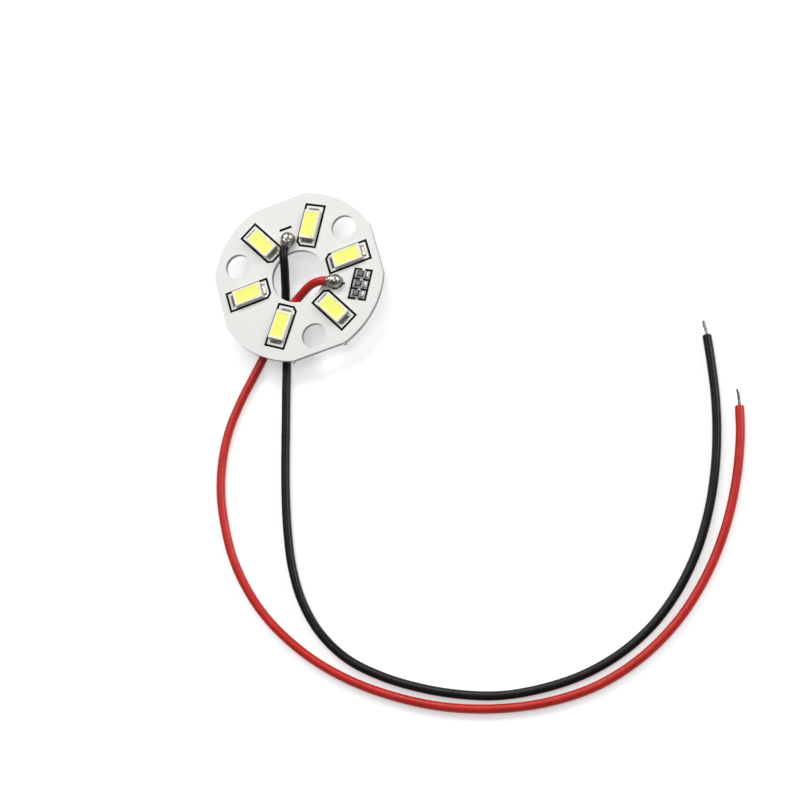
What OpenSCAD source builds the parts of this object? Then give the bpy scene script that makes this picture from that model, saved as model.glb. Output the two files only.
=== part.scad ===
// Round LED module: an aluminium-backed board that carries six surface-mount LEDs and three chip
// resistors, with a red and a black lead soldered to its face and led out through the middle hole.
// The origin lies on the board's back face, at the centre of its screw circle. +Z is the way the
// light goes. LED 1 is on +X and the LEDs are numbered anticlockwise.

/* [Board] */
// Diameter of the board's round edge
board_d = 32; // [31:0.1:34]
// How far each of the four flats lies inside the round edge
flat_depth = 0.8; // [0.4:0.1:1]
// Diameter of the middle hole
bore_d = 10; // [9.4:0.1:10.6]
// Diameter of the screw holes
screw_hole_d = 4.6; // [4:0.1:4.8]
// Wall between a screw hole and the nearest flat
screw_wall = 0.9; // [0.5:0.1:0.9]
// Width of the burrs left at the ends of one flat
burr_w = 0.5; // [0.3:0.05:0.8]
// How far those burrs stand out
burr_out = 0.25; // [0.1:0.05:0.4]
// Thickness of the aluminium core
core_t = 0.8; // [0.6:0.05:1.6]
// Thickness of the insulating layer on the core
dielectric_t = 0.1; // [0.06:0.01:0.2]
// Thickness of the copper
copper_t = 0.07; // [0.035:0.005:0.14]
// Thickness of the solder mask over the copper
mask_t = 0.03; // [0.02:0.005:0.05]

/* [Circuit] */
// Clear margin between copper and the middle hole
bore_margin = 1; // [0.8:0.05:1.1]
// Clear margin between copper and the screw holes
screw_margin = 0.35; // [0.25:0.05:0.4]
// Width of the ring track on the negative side
minus_track_w = 0.8; // [0.5:0.05:1]
// Width of the ring track on the positive side
plus_track_w = 0.4; // [0.3:0.05:0.5]
// Width of the track that feeds the positive side
feed_track_w = 0.5; // [0.3:0.05:0.8]
// Distance from the LEDs' pads out to the middle of the feed track
feed_shift = 0.15; // [0:0.05:0.2]
// How far the solder mask covers the edges of the pads
pad_margin = 0.1; // [0.05:0.01:0.15]
// Distance from the middle hole to the bare copper of a wire pad
wire_pad_inset = 1.2; // [1.1:0.05:1.3]
// Diameter of the bare copper on a wire pad
wire_pad_d = 2.4; // [2.2:0.05:2.5]

/* [LEDs] */
// How far the LEDs' middles lie inside the midline between the middle hole and the flats
led_ring_shift = 0.35; // [0:0.05:0.4]
// Length of the white housing
housing_l = 5.4; // [5.2:0.05:5.6]
// Width of the white housing
housing_w = 3; // [2.8:0.05:3.2]
// Height of an LED above the foot of its terminals
led_h = 0.9; // [0.85:0.05:1.2]
// Gap between the foot plane and the underside of the housing
housing_lift = 0.05; // [0.02:0.01:0.1]
// Draft of the housing's walls above the terminals, in degrees
housing_draft = 5; // [2:1:10]
// Size of the corner nick that marks the negative terminal
nick = 0.35; // [0.2:0.05:0.4]
// Length of the light window
window_l = 4.7; // [4.2:0.05:4.8]
// Width of the light window
window_w = 2.5; // [2.2:0.05:2.6]
// Corner radius of the light window
window_corner = 0.35; // [0.3:0.05:0.6]
// How far the window's walls slope in towards its floor
window_slope = 0.2; // [0.1:0.05:0.25]
// How far the phosphor stays below the housing's rim
phosphor_recess = 0.02; // [0.01:0.01:0.05]
// Thickness of the terminals' sheet metal
terminal_t = 0.15; // [0.1:0.01:0.16]
// Width of the terminals
terminal_w = 2.2; // [1.9:0.05:2.4]
// Length of the foot folded under the housing
foot_l = 0.9; // [0.7:0.05:1.1]
// Height of the terminals' upper face, which is the window's floor
floor_h = 0.45; // [0.42:0.01:0.5]
// Gap between the two terminals inside the housing
terminal_gap = 0.3; // [0.2:0.05:0.4]
// Length of the light-emitting die
die_l = 0.9; // [0.7:0.05:1]
// Width of the die
die_w = 0.55; // [0.4:0.05:0.8]
// Height of the die
die_h = 0.15; // [0.1:0.01:0.16]
// Distance of the die from the LED's middle, towards the negative terminal
die_shift = 0.15; // [0.1:0.05:0.3]
// Thickness of the bond wires
bond_t = 0.04; // [0.03:0.005:0.05]
// Radius of a bond wire's loop
bond_loop_r = 0.45; // [0.42:0.01:0.48]

/* [Resistors] */
// How far the resistors' outer pads reach past the middle of the feed track
chip_lap = 0.1; // [0.05:0.05:0.3]
// Spacing of the resistors
chip_pitch = 1.85; // [1.8:0.05:2]
// Turn of the resistors' place from the red pad's radius, in degrees
chip_turn = 1.6; // [0:0.1:2.5]
// How far the resistors sit inwards on their pads
chip_shift = 0.2; // [0:0.05:0.2]
// Length of a resistor over its terminals
chip_l = 2; // [1.9:0.05:2.05]
// Width of a resistor
chip_w = 1.25; // [1.1:0.05:1.3]
// Height of a resistor over its terminals
chip_h = 0.5; // [0.4:0.05:0.6]
// Length of the wrap-round terminals
cap_l = 0.4; // [0.3:0.05:0.5]
// Thickness of the wrap-round terminals
cap_t = 0.05; // [0.03:0.01:0.08]
// Thickness of the black overcoat
coat_t = 0.08; // [0.05:0.01:0.12]

/* [Solder] */
// Thickness of the solder under a terminal
solder_t = 0.06; // [0.05:0.01:0.1]
// How far the solder reaches out past an LED's leg
led_toe = 0.5; // [0.4:0.05:0.55]
// How high the solder climbs an LED's leg
led_toe_h = 0.35; // [0.25:0.05:0.4]
// How far a resistor's pads reach out past its ends when it sits in their middle
chip_toe = 0.3; // [0.25:0.05:0.4]
// How high the solder climbs a resistor's end
chip_toe_h = 0.35; // [0.25:0.05:0.4]
// Thickness of the solder at the thin edges of a fillet
toe_edge = 0.03; // [0.02:0.01:0.05]
// Height of the domes over the wire pads, above the board's face
dome_h = 1.8; // [1.6:0.05:1.9]
// Diameter of the solder neck where it meets a lead's insulation
neck_d = 1.44; // [1.2:0.02:1.5]
// Diameter of the solder neck inside the dome
neck_root_d = 1.7; // [1.5:0.05:1.8]
// Length of the solder neck
neck_l = 1.55; // [1.4:0.05:1.6]

/* [Leads] */
// Outer diameter of a lead's insulation
lead_d = 1.6; // [1.5:0.01:1.62]
// Diameter of a lead's tinned strands
strand_d = 0.5; // [0.4:0.02:0.7]
// Length of the strands inside the solder
root_l = 1.35; // [1:0.05:1.5]
// Length of the bare strands at the free end
stripped_l = 3; // [2:0.5:6]

/* [Printed legend] */
// Thickness of the ink
ink_t = 0.03; // [0.02:0.005:0.04]
// Width of the printed lines
ink_w = 0.4; // [0.2:0.05:0.4]
// Distance from an LED's pads to the middle of the printed line past them
led_print_gap = 0.6; // [0.4:0.05:0.8]
// Distance from a housing's side to the middle of the printed line beside it
side_print_gap = 0.3; // [0.2:0.05:0.4]
// Size of the cut corner that marks an LED's negative end
print_chamfer = 0.8; // [0.6:0.05:1]
// Distance from the resistors' pads to the middle of the printed line past them
chip_print_gap = 0.26; // [0.22:0.02:0.4]
// Gap in the middle of the lines between the resistors
print_break = 0.5; // [0.3:0.05:0.8]
// Clear distance between the bare copper of a wire pad and the ink
pad_print_gap = 0.2; // [0.18:0.02:0.3]
// Length of the minus mark
minus_mark_l = 2.2; // [1.6:0.1:2.4]
// Distance from a wire pad's middle out to the minus mark
minus_mark_shift = 2.35; // [2.2:0.05:2.6]
// Length of the plus mark's arms, end to end
plus_mark_l = 1.7; // [1.4:0.1:1.7]
// Distance from a wire pad's middle out to the middle of the plus mark
plus_mark_shift = 0.9; // [0.8:0.05:1.1]

/* [Hidden] */
$fn = 64;
led_count = 6;
chip_count = 3;
screw_count = 3;
led_step = 360 / led_count;
// How far each LED's place is turned from an even spacing, in degrees
led_turns = [1, 1.5, 0, 1, -3.5, -0.5];
screw_angle = 30;
minus_angle = 90;
plus_angle = 330;
chip_angle = plus_angle + chip_turn;
burr_angle = 270;

flat_reach = board_d / 2 - flat_depth;
flat_half = sqrt(pow(board_d / 2, 2) - pow(flat_reach, 2));
screw_r = flat_reach - screw_wall - screw_hole_d / 2;
led_r = (bore_d / 2 + flat_reach) / 2 - led_ring_shift;
wire_pad_r = bore_d / 2 + wire_pad_inset + wire_pad_d / 2;

// Heights of the board's layers, of the plane that the terminals stand on and of the printed face
dielectric_z = core_t;
copper_z = dielectric_z + dielectric_t;
pad_z = copper_z + copper_t;
face_z = pad_z + mask_t;
seat_z = pad_z + solder_t;

// Ring tracks: one close to the middle hole, one just inside the screw holes
minus_track_r = bore_d / 2 + bore_margin + minus_track_w / 2;
plus_track_r = screw_r - screw_hole_d / 2 - screw_margin - plus_track_w / 2;

// An LED's bare pads, measured from its middle along its length
leg_reach = housing_l / 2 + terminal_t;
led_pad_in = leg_reach - foot_l;
led_pad_out = leg_reach + led_toe;

// The feed track runs past the LEDs' outer pads and joins them to the resistors' outer pads
feed_r = led_r + led_pad_out + feed_shift;

// A resistor's bare pads, measured from its middle along its length
chip_pad_in = chip_l / 2 - cap_l;
chip_pad_out = chip_l / 2 + chip_toe;
chip_r = feed_r + chip_lap - chip_pad_out;
bus_w = (chip_count - 1) * chip_pitch + chip_w;

// The die stands on the long negative terminal, clear of its end
die_x = -die_shift;
terminal_lip = 0.05;
cathode_end = die_x + die_l / 2 + terminal_lip;
anode_end = cathode_end + terminal_gap;

// Each bond wire is an arc that stands on the die and on a terminal. Its centre lies below the
// window's floor.
bond_drop = 0.15;
bond_edge = 0.15;
bond_side = 0.12;
bond_x = die_l / 2 - bond_edge + sqrt(pow(bond_loop_r, 2) - pow(bond_drop + die_h, 2));

// The domes are parts of a sphere whose rim lies on the edge of the bare pad
dome_r = (pow(wire_pad_d / 2, 2) + pow(dome_h, 2)) / (2 * dome_h);
dome_z = face_z + dome_h - dome_r;

// Small overlap that lets a cut run past a face
cut = 0.1;

// Routes of the leads' centrelines, from the solder to the free end. Both drop through the
// middle hole. The red one crosses over the black one below the board and takes the outer loop.
lying_z = -2.5;
black_route = [
    [-0.8, 6, 1.9], [-1.2, 5.3, 1.9], [-1.5, 4.2, 1.8], [-1.8, 3.1, 1.4], [-2.2, 1.9, 0.8],
    [-2.7, 0.7, 0.1], [-3.2, -0.5, -0.7], [-3.8, -1.8, -1.5], [-4.3, -3.1, -2.2],
    [-4.8, -4.8, lying_z], [-5.6, -8.5, lying_z], [-6.9, -13.5, lying_z],
    [-8.4, -19, lying_z], [-10, -25, lying_z], [-11.6, -31, lying_z], [-13.2, -37.5, lying_z],
    [-14.5, -44, lying_z], [-15.3, -50.5, lying_z], [-15.1, -57, lying_z],
    [-13.4, -63.5, lying_z], [-9.9, -69.5, lying_z], [-4.8, -74.4, lying_z],
    [1.2, -78.5, lying_z], [7.6, -81.8, lying_z], [14.3, -84.2, lying_z],
    [21.4, -85.3, lying_z], [28.6, -85.3, lying_z], [35.6, -83.9, lying_z],
    [42.1, -81.1, lying_z], [47.9, -76.9, lying_z], [52.8, -71.7, lying_z],
    [56.7, -65.9, lying_z], [59.8, -59.7, lying_z], [62.2, -53.3, lying_z],
    [64, -46.7, lying_z], [65.2, -40.2, lying_z], [65.9, -35.6, lying_z]
];
red_route = [
    [5, -3.2, 1.9], [4.2, -2.9, 1.9], [3.2, -2.7, 1.7], [2.1, -2.6, 1.25], [0.9, -2.7, 0.6],
    [-0.3, -3, -0.1], [-1.5, -3.4, -0.65], [-2.7, -4, -0.86], [-3.9, -4.8, -0.86],
    [-5.2, -5.9, -0.86], [-7, -7.5, -1.3], [-9, -9.4, -2], [-11, -11.4, -2.4],
    [-13.5, -14, lying_z], [-17, -17.8, lying_z], [-20.4, -22.3, lying_z],
    [-23, -27.5, lying_z], [-24.7, -33.2, lying_z], [-25.4, -39, lying_z],
    [-25.4, -45, lying_z], [-24.4, -51, lying_z], [-22.4, -57, lying_z],
    [-19.3, -62.8, lying_z], [-15.1, -68.5, lying_z], [-9.8, -73.8, lying_z],
    [-3.4, -78.6, lying_z], [4, -82.8, lying_z], [12.5, -86, lying_z], [21.5, -87.8, lying_z],
    [30.5, -87.8, lying_z], [39, -85.6, lying_z], [46.6, -81.6, lying_z], [53.2, -76, lying_z],
    [58.6, -69.4, lying_z], [62.8, -62.2, lying_z], [65.9, -54.8, lying_z],
    [67.4, -49.6, lying_z]
];
lead_sides = 8;

LED_PIECES = ["housing", "cathode", "anode", "die", "phosphor"];
CHIP_PIECES = ["body", "coat", "terminals"];

// Places

function led_angle(k) = (k - 1) * led_step + led_turns[k - 1];

module at_led(k) {
    rotate(led_angle(k)) translate([led_r, 0, 0]) children();
}

module at_leds() {
    for (k = [1 : led_count]) at_led(k) children();
}

// The middle between a resistor's pads
module at_chip_pads(k) {
    rotate(chip_angle) translate([chip_r, (k - (chip_count + 1) / 2) * chip_pitch, 0]) children();
}

module at_all_chip_pads() {
    for (k = [1 : chip_count]) at_chip_pads(k) children();
}

module at_chip(k) {
    at_chip_pads(k) translate([-chip_shift, 0, 0]) children();
}

module at_screws() {
    for (i = [0 : screw_count - 1])
        rotate(screw_angle + i * 360 / screw_count) translate([screw_r, 0]) children();
}

module at_wire_pads() {
    for (angle = [minus_angle, plus_angle]) rotate(angle) translate([wire_pad_r, 0]) children();
}

// Points children that rise along +Z along the direction v
module aim(v) {
    rotate([0, acos(v.z), atan2(v.y, v.x)]) children();
}

// Board

module openings() {
    circle(d = bore_d);
    at_screws() circle(d = screw_hole_d);
}

module outline() {
    difference() {
        intersection() {
            circle(d = board_d);
            square(2 * flat_reach, center = true);
        }
        openings();
    }
}

module burrs() {
    rotate(burr_angle)
        for (side = [-1, 1])
            translate([flat_reach, side * flat_half])
                square([2 * burr_out, burr_w], center = true);
}

module base_plate() {
    color("silver") linear_extrude(core_t) {
        outline();
        burrs();
    }
}

module dielectric_layer() {
    color("whitesmoke") translate([0, 0, dielectric_z]) linear_extrude(dielectric_t) outline();
}

// A pair of pads that mirror each other, from x0 to x1 either side of the middle
module pad_pair(x0, x1, w, margin) {
    for (side = [-1, 1])
        translate([side * (x0 + x1) / 2, 0])
            square([x1 - x0 + 2 * margin, w + 2 * margin], center = true);
}

module bare_pads() {
    at_leds() pad_pair(led_pad_in, led_pad_out, terminal_w, 0);
    at_all_chip_pads() pad_pair(chip_pad_in, chip_pad_out, chip_w, 0);
    at_wire_pads() circle(d = wire_pad_d);
}

module ring(r, w) {
    difference() {
        circle(r + w / 2);
        circle(r - w / 2);
    }
}

// A straight track along the radius, from r0 to r1
module spoke(r0, r1, w) {
    translate([(r0 + r1) / 2, 0]) square([r1 - r0, w], center = true);
}

// The sector of the resistors, between two neighbouring LEDs
module chip_sector() {
    polygon([[0, 0], for (side = [-1, 1])
        board_d * [cos(plus_angle + side * led_step / 2), sin(plus_angle + side * led_step / 2)]]);
}

module minus_net() {
    difference() {
        ring(minus_track_r, minus_track_w);
        chip_sector();
    }
    for (k = [1 : led_count])
        rotate(led_angle(k))
            spoke(minus_track_r, led_r - (led_pad_in + led_pad_out) / 2, minus_track_w);
    rotate(minus_angle) spoke(minus_track_r, wire_pad_r, minus_track_w);
}

module plus_net() {
    difference() {
        ring(plus_track_r, plus_track_w);
        chip_sector();
    }
    intersection() {
        ring(feed_r, feed_track_w);
        chip_sector();
    }
    for (k = [1 : led_count])
        rotate(led_angle(k))
            spoke(plus_track_r, led_r + (led_pad_in + led_pad_out) / 2, plus_track_w);
}

module chip_net() {
    rotate(chip_angle) {
        translate([chip_r, 0]) pad_pair(chip_pad_in, chip_pad_out, bus_w, pad_margin);
        spoke(wire_pad_r, chip_r - (chip_pad_in + chip_pad_out) / 2, minus_track_w);
    }
}

module circuit() {
    minus_net();
    plus_net();
    chip_net();
    at_leds() pad_pair(led_pad_in, led_pad_out, terminal_w, pad_margin);
    at_wire_pads() circle(d = wire_pad_d + 2 * pad_margin);
}

module copper_circuit() {
    color("peru") translate([0, 0, copper_z]) linear_extrude(copper_t) circuit();
}

// The mask fills the spaces between the copper and covers it, apart from the bare pads
module solder_mask() {
    color("white") translate([0, 0, copper_z]) difference() {
        linear_extrude(copper_t + mask_t) outline();
        linear_extrude(copper_t) circuit();
        translate([0, 0, copper_t]) linear_extrude(mask_t) bare_pads();
    }
}

// Printed legend

// A rectangle with its inner, anticlockwise corner cut off
module cut_corner_box(half_l, half_w, chamfer) {
    polygon([
        [half_l, -half_w], [half_l, half_w], [chamfer - half_l, half_w],
        [-half_l, half_w - chamfer], [-half_l, -half_w]
    ]);
}

module led_frame() {
    half_l = led_pad_out + led_print_gap;
    half_w = housing_w / 2 + side_print_gap;
    difference() {
        cut_corner_box(half_l + ink_w / 2, half_w + ink_w / 2, print_chamfer);
        cut_corner_box(half_l - ink_w / 2, half_w - ink_w / 2,
            print_chamfer - (2 - sqrt(2)) * ink_w);
    }
}

// A comb of four teeth on each long side, with one resistor between each two teeth
module chip_grid() {
    bar_x = chip_pad_out + chip_print_gap;
    bar_l = chip_count * chip_pitch + ink_w;
    tooth_l = bar_x - print_break / 2;
    for (side = [-1, 1]) {
        translate([side * bar_x, 0]) square([ink_w, bar_l], center = true);
        for (i = [0 : chip_count])
            translate([side * (bar_x + print_break / 2) / 2, (i - chip_count / 2) * chip_pitch])
                square([tooth_l, ink_w], center = true);
    }
}

module minus_mark() {
    rotate(minus_angle) translate([wire_pad_r + minus_mark_shift, 0])
        square([ink_w, minus_mark_l], center = true);
}

// The plus mark's inner part falls on the wire pad, where no ink is printed
module plus_mark() {
    rotate(plus_angle) difference() {
        translate([wire_pad_r + plus_mark_shift, 0]) {
            square([plus_mark_l, ink_w], center = true);
            square([ink_w, plus_mark_l], center = true);
        }
        translate([wire_pad_r, 0]) circle(d = wire_pad_d + 2 * pad_print_gap);
    }
}

// Nothing is printed past the board's edge or over its holes
module legend_print() {
    color("black") translate([0, 0, face_z]) linear_extrude(ink_t) intersection() {
        outline();
        union() {
            at_leds() led_frame();
            rotate(chip_angle) translate([chip_r, 0]) chip_grid();
            minus_mark();
            plus_mark();
        }
    }
}

// LEDs, drawn about their own middle with the foot plane at zero and the negative end towards -X

// A wall profile, upright to the terminals' height and drafted above it
module wall_profile(half) {
    top = half - (led_h - floor_h) * tan(housing_draft);
    polygon([
        [-half, housing_lift], [half, housing_lift], [half, floor_h],
        [top, led_h], [-top, led_h], [-half, floor_h]
    ]);
}

module housing_block() {
    intersection() {
        rotate([90, 0, 0]) linear_extrude(housing_w + 2 * cut, center = true)
            wall_profile(housing_l / 2);
        rotate([90, 0, 90]) linear_extrude(housing_l + 2 * cut, center = true)
            wall_profile(housing_w / 2);
    }
}

// The tapered light window, from the floor up to the rim
module window() {
    depth = led_h - floor_h;
    hull()
        for (x = [-1, 1], y = [-1, 1])
            translate([
                x * (window_l / 2 - window_corner),
                y * (window_w / 2 - window_corner),
                floor_h
            ])
                cylinder(h = depth, r1 = window_corner - window_slope, r2 = window_corner, $fn = 32);
}

// One strip of sheet metal folded to a C: a foot, a leg and an arm that runs in to arm_end.
// It is drawn for the end on +X.
module terminal_strip(arm_end) {
    rotate([90, 0, 0]) linear_extrude(terminal_w, center = true)
        polygon([
            [leg_reach - foot_l, 0], [leg_reach, 0], [leg_reach, floor_h], [arm_end, floor_h],
            [arm_end, floor_h - terminal_t], [housing_l / 2, floor_h - terminal_t],
            [housing_l / 2, terminal_t], [leg_reach - foot_l, terminal_t]
        ]);
}

module cathode_strip() {
    mirror([1, 0, 0]) terminal_strip(-cathode_end);
}

module anode_strip() {
    terminal_strip(anode_end);
}

module die_block() {
    translate([die_x - die_l / 2, -die_w / 2, floor_h]) cube([die_l, die_w, die_h]);
}

// An arc over the die's edge, cut off at the terminal and at the die's top
module bond_arc(side) {
    difference() {
        translate([side * bond_x, -bond_drop]) difference() {
            circle(bond_loop_r + bond_t / 2, $fn = 12);
            circle(bond_loop_r - bond_t / 2, $fn = 12);
        }
        translate([side * bond_x - led_h, -2 * led_h]) square(2 * led_h);
        translate([-die_l / 2, 0]) square([die_l, die_h]);
    }
}

module bond_wire(side) {
    translate([die_x, side * bond_side, floor_h])
        rotate([90, 0, 0]) linear_extrude(bond_t, center = true) bond_arc(side);
}

module nick_wedge() {
    depth = (led_h - floor_h) / 2;
    translate([-housing_l / 2, housing_w / 2, led_h - depth])
        linear_extrude(depth + cut)
            polygon([[-cut, -nick - cut], [nick + cut, cut], [-cut, cut]]);
}

module led_housing(k) {
    color("white") at_led(k) translate([0, 0, seat_z]) difference() {
        housing_block();
        window();
        cathode_strip();
        anode_strip();
        nick_wedge();
    }
}

module led_cathode(k) {
    color("silver") at_led(k) translate([0, 0, seat_z]) cathode_strip();
}

module led_anode(k) {
    color("silver") at_led(k) translate([0, 0, seat_z]) anode_strip();
}

module led_die(k) {
    color("lightsteelblue") at_led(k) translate([0, 0, seat_z]) die_block();
}

module led_phosphor(k) {
    color("yellow") at_led(k) translate([0, 0, seat_z]) difference() {
        window();
        translate([-window_l, -window_w, led_h - phosphor_recess])
            cube([2 * window_l, 2 * window_w, cut]);
        die_block();
        for (side = [-1, 1]) bond_wire(side);
    }
}

module led_bond_wires() {
    color("gold") at_leds() translate([0, 0, seat_z]) for (side = [-1, 1]) bond_wire(side);
}

// Solder under and beside a terminal whose upright face stands at x, on a pad from x0 to x1. Its
// face is an arc that leaves thin edges at the top and at the pad's end. The arc starts upright
// where the solder is higher than wide, and ends level where it is wider than high.
module solder_fillet(x, x0, x1, w, rise) {
    run = x1 - x - toe_edge;
    climb = rise - toe_edge;
    arc_r = (pow(run, 2) + pow(climb, 2)) / (2 * min(run, climb));
    middle = run < climb ? [x + toe_edge + arc_r, rise] : [x1, toe_edge + arc_r];
    rotate([90, 0, 0]) linear_extrude(w, center = true) {
        translate([x0, -solder_t]) square([x1 - x0, solder_t]);
        difference() {
            translate([x, -solder_t]) square([x1 - x, solder_t + rise]);
            translate(middle) circle(r = arc_r, $fn = 96);
        }
    }
}

module led_solder() {
    color("gainsboro") at_leds() translate([0, 0, seat_z])
        for (side = [0, 1])
            mirror([side, 0, 0])
                solder_fillet(leg_reach, led_pad_in, led_pad_out, terminal_w, led_toe_h);
}

// Resistors, drawn about their own middle with the underside of the terminals at zero

module chip_core() {
    translate([-chip_l / 2 + cap_t, -chip_w / 2, cap_t])
        cube([chip_l - 2 * cap_t, chip_w, chip_h - 2 * cap_t]);
}

module resistor_body(k) {
    color("white") at_chip(k) translate([0, 0, seat_z]) chip_core();
}

module resistor_coat(k) {
    color("black") at_chip(k) translate([-chip_pad_in, -chip_w / 2, seat_z + chip_h - cap_t])
        cube([2 * chip_pad_in, chip_w, coat_t]);
}

module resistor_terminals(k) {
    color("silver") at_chip(k) translate([0, 0, seat_z]) difference() {
        for (side = [-1, 1])
            translate([side * (chip_l - cap_l) / 2 - cap_l / 2, -chip_w / 2, 0])
                cube([cap_l, chip_w, chip_h]);
        chip_core();
    }
}

module resistor_solder() {
    color("gainsboro") at_all_chip_pads() translate([0, 0, seat_z])
        for (side = [0, 1])
            mirror([side, 0, 0])
                solder_fillet(chip_l / 2 + (2 * side - 1) * chip_shift, chip_pad_in, chip_pad_out,
                    chip_w, chip_toe_h);
}

// Leads

function unit(v) = v / norm(v);

// Direction of a route at point i: the mean of the directions before and after it
function heading(route, i) =
    let (last = len(route) - 1)
    i == 0 ? unit(route[1] - route[0])
    : i == last ? unit(route[last] - route[last - 1])
    : unit(unit(route[i + 1] - route[i]) + unit(route[i] - route[i - 1]));

// A ring of points square to the route at point i, with one of them straight below it
function lead_ring(route, i, r) =
    let (
        ahead = heading(route, i),
        side = unit(cross([0, 0, 1], ahead)),
        up = cross(ahead, side)
    )
    [for (j = [0 : lead_sides - 1])
        let (a = j * 360 / lead_sides) route[i] + r * (cos(a) * side + sin(a) * up)];

module lead_tube(route) {
    n = lead_sides;
    last = len(route) - 1;
    points = [for (i = [0 : last]) each lead_ring(route, i, lead_d / 2)];
    walls = [for (i = [0 : last - 1], j = [0 : n - 1])
        let (a = i * n + j, b = i * n + (j + 1) % n)
        each [[a, a + n, b + n], [a, b + n, b]]];
    caps = [[for (j = [0 : n - 1]) j], [for (j = [n - 1 : -1 : 0]) last * n + j]];
    polyhedron(points, concat(walls, caps));
}

// Bare strands that leave the insulation at the route's start or end. The lap is a length inside
// the insulation, by which a cut for the strands runs past its face.
module strands(route, at_start, l, lap = 0) {
    last = len(route) - 1;
    end = at_start ? route[0] : route[last];
    away = at_start ? -heading(route, 0) : heading(route, last);
    translate(end) aim(away) translate([0, 0, -lap]) cylinder(h = l + lap, d = strand_d);
}

// A dome over the wire pad with a neck that runs out to the insulation
module solder_joint(angle, route) {
    difference() {
        union() {
            rotate(angle) translate([wire_pad_r, 0, 0]) {
                translate([0, 0, pad_z]) cylinder(h = mask_t, d = wire_pad_d);
                intersection() {
                    translate([0, 0, dome_z]) sphere(dome_r);
                    translate([-2 * dome_r, -2 * dome_r, face_z]) cube(4 * dome_r);
                }
            }
            translate(route[0]) aim(-heading(route, 0))
                cylinder(h = neck_l, d1 = neck_d, d2 = neck_root_d);
        }
        strands(route, true, root_l, cut);
    }
}

module black_solder_joint() {
    color("gainsboro") solder_joint(minus_angle, black_route);
}

module red_solder_joint() {
    color("gainsboro") solder_joint(plus_angle, red_route);
}

module black_lead() {
    color("dimgray") lead_tube(black_route);
}

module red_lead() {
    color("firebrick") lead_tube(red_route);
}

module black_soldered_end() {
    color("silver") strands(black_route, true, root_l);
}

module red_soldered_end() {
    color("silver") strands(red_route, true, root_l);
}

module black_stripped_end() {
    color("silver") strands(black_route, false, stripped_l);
}

module red_stripped_end() {
    color("silver") strands(red_route, false, stripped_l);
}

base_plate();
dielectric_layer();
copper_circuit();
solder_mask();
legend_print();
for (k = [1 : led_count]) {
    led_housing(k);
    led_cathode(k);
    led_anode(k);
    led_die(k);
    led_phosphor(k);
}
led_bond_wires();
led_solder();
for (k = [1 : chip_count]) {
    resistor_body(k);
    resistor_coat(k);
    resistor_terminals(k);
}
resistor_solder();
black_solder_joint();
red_solder_joint();
black_lead();
black_soldered_end();
black_stripped_end();
red_lead();
red_soldered_end();
red_stripped_end();
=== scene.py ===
"""Round LED module: six surface-mount LEDs and three chip resistors on an aluminium-backed board.
A red and a black lead are soldered to its face and drop through the middle hole."""

import math
import random
from bisect import bisect_right

import bmesh
import bpy
from mathutils import Matrix, Vector, noise


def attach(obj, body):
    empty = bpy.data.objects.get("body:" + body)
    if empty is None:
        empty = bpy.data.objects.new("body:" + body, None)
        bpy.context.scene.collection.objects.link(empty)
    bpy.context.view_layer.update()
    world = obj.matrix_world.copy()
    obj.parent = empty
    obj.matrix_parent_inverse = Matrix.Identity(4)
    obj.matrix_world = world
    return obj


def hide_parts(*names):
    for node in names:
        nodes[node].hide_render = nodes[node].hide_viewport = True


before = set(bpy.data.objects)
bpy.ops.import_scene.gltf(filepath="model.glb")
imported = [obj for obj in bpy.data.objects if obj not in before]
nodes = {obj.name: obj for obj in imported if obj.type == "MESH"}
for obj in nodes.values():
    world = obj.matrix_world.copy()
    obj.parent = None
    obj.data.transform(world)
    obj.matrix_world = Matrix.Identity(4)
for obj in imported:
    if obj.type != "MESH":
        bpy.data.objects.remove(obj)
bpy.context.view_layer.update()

MM = 0.001

# Photograph: its frame and the camera's focal length, both in pixels
PHOTO_SIZE = 800
FOCAL_LENGTH = 2500

# Camera, fitted to the board's edge and holes
CAMERA_AT = Vector((92.7, -187.1, 400.5)) * MM
CAMERA_RIGHT = Vector((0.9255, -0.2490, -0.2855))
CAMERA_UP = Vector((0.3307, 0.8986, 0.2883))

# Camera's sensor width in millimetres, and the nearest distance that it sees, in metres
SENSOR_WIDTH = 36
CLIP_START = 0.01

# From here to the routes, lengths are in millimetres and angles in degrees

# Levels above the board's back face
COPPER_Z = 0.97
MASK_Z = 1.0
SOLDER_T = 0.06
SEAT_Z = COPPER_Z + SOLDER_T

# LEDs: their ring, each one's turn from even spacing, and the terminal and pad at each end
LED_COUNT = 6
LEDS = range(1, LED_COUNT + 1)
LED_R = 9.75
LED_TURNS = (1, 1.5, 0, 1, -3.5, -0.5)
LED_H = 0.9
HOUSING_L = 5.4
TERMINAL_T = 0.15
TERMINAL_W = 2.2
LEG_REACH = HOUSING_L / 2 + TERMINAL_T
FOOT_L = 0.9
LED_TOE = 0.5
LED_TOE_H = 0.35

# Light window
WINDOW_L = 4.7
WINDOW_W = 2.5
WINDOW_CORNER = 0.35
WINDOW_SLOPE = 0.2
WINDOW_FLOOR_H = 0.45

# Resin in the window: a pale margin, and a face that sinks inwards of the rim
RESIN_RECESS = 0.005
RESIN_SINK = 0.06
RESIN_SINK_WITHIN = 0.18
RESIN_MARGIN = 0.1
RESIN_INSET = 0.9
RESIN_INNER_CORNER = 0.03
RESIN_RINGS = 8
RESIN_SPACING = 1.5

# Wire pads: the black lead's is at the minus angle, and the red lead's is at the plus angle
BORE_D = 10
WIRE_PAD_INSET = 1.2
WIRE_PAD_D = 2.4
WIRE_PAD_R = BORE_D / 2 + WIRE_PAD_INSET + WIRE_PAD_D / 2
MINUS_ANGLE = 90
PLUS_ANGLE = 330

# Minus mark
MINUS_SHIFT = 2.35
MINUS_L = 2.35
MINUS_W = 0.46
MINUS_CORNER = 0.08
INK_TOP_Z = 1.032
INK_T = 0.034

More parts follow.
